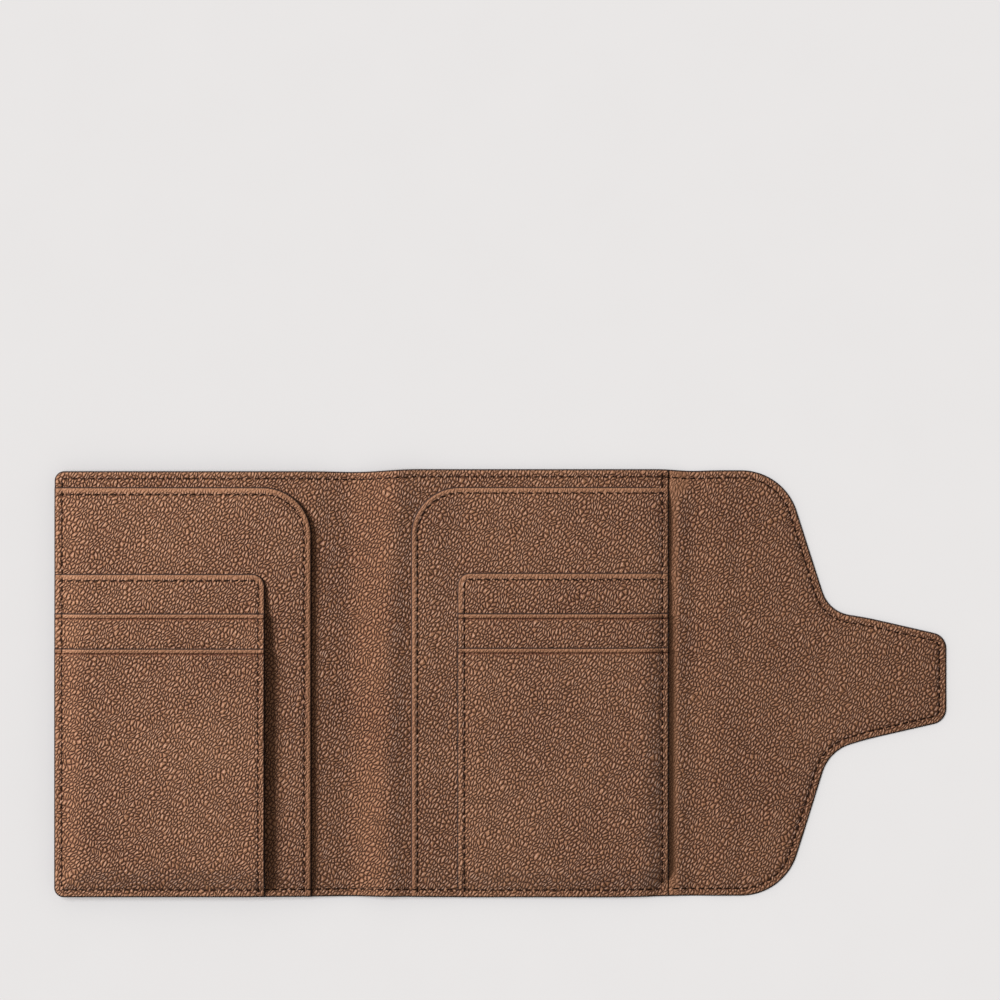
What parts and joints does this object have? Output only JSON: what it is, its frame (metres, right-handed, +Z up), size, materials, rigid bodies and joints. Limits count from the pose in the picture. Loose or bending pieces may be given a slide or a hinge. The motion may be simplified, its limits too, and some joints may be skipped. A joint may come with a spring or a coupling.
{
  "type": "travel document organizer",
  "caption": "Folding leather travel organizer with passport pockets and stepped card slots inside, closed by a tapered tongue flap that slips under a keeper strap.",
  "frame": {"origin": "middle of the underside of the open organizer at rest, on the surface that it lies on", "axes": "+X across the open organizer from the front panel to the tip of the flap, +Y towards the pocket mouths, +Z up out of the inside"},
  "size_m": [0.297, 0.1424, 0.0099],
  "materials": {
    "cover_leather": "tan-brown pebbled full-grain leather, satin, with dark painted edges",
    "lining_leather": "tan-brown pebbled leather, satin",
    "pocket_leather": "tan-brown pebbled leather with a creased line along each slot edge",
    "strap_leather": "tan-brown pebbled leather strap with painted edges",
    "board": "bonded leather fibre board, plain and hidden",
    "textile": "thin brown woven backing",
    "thread": "dark brown bonded sewing thread"
  },
  "bodies": {
    "back_panel": {"cover_back": "cover_leather", "board_back": "board", "lining_back": "lining_leather", "flap_lining_lap": "lining_leather", "back_passport_pocket": "pocket_leather", "back_passport_backing": "textile", "back_card_panel": "pocket_leather", "back_upper_slot": "pocket_leather", "back_slot_backing": "textile", "back_front_slot": "pocket_leather", "back_edge_stitching": "thread", "lap_stitching": "thread", "back_pocket_stitching": "thread", "back_card_stitching": "thread"},
    "spine": {"cover_spine": "cover_leather", "spine_tape": "textile", "lining_spine": "lining_leather", "spine_stitching": "thread"},
    "front_panel": {"cover_front": "cover_leather", "board_front": "board", "lining_front": "lining_leather", "front_passport_pocket": "pocket_leather", "front_passport_backing": "textile", "front_card_panel": "pocket_leather", "front_upper_slot": "pocket_leather", "front_slot_backing": "textile", "front_front_slot": "pocket_leather", "front_edge_stitching": "thread", "front_pocket_stitching": "thread", "front_card_stitching": "thread", "keeper_strap": "strap_leather", "keeper_stitching": "thread"},
    "gusset": {"cover_gusset": "cover_leather", "lining_gusset": "lining_leather", "gusset_stitching": "thread"},
    "flap": {"cover_flap": "cover_leather", "flap_core": "board", "lining_flap": "lining_leather", "flap_stitching": "thread"}
  },
  "joints": [
    {"name": "back_crease", "type": "hinge", "parent": "back_panel", "child": "spine", "pos_m": [-0.04013, 0, 0.0009], "axis": [0, 1, 0], "range_deg": [0, 75.52]},
    {"name": "front_crease", "type": "hinge", "parent": "spine", "child": "front_panel", "pos_m": [-0.05252, 0, 0.0041], "axis": [0, 1, 0], "range_deg": [0, 104.47]},
    {"name": "gusset_crease", "type": "hinge", "parent": "back_panel", "child": "gusset", "pos_m": [0.05867, 0, 0.0009], "axis": [0, -1, 0], "range_deg": [0, 90]},
    {"name": "flap_crease", "type": "hinge", "parent": "gusset", "child": "flap", "pos_m": [0.07352, 0, 0.0009], "axis": [0, -1, 0], "range_deg": [0, 90]}
  ]
}
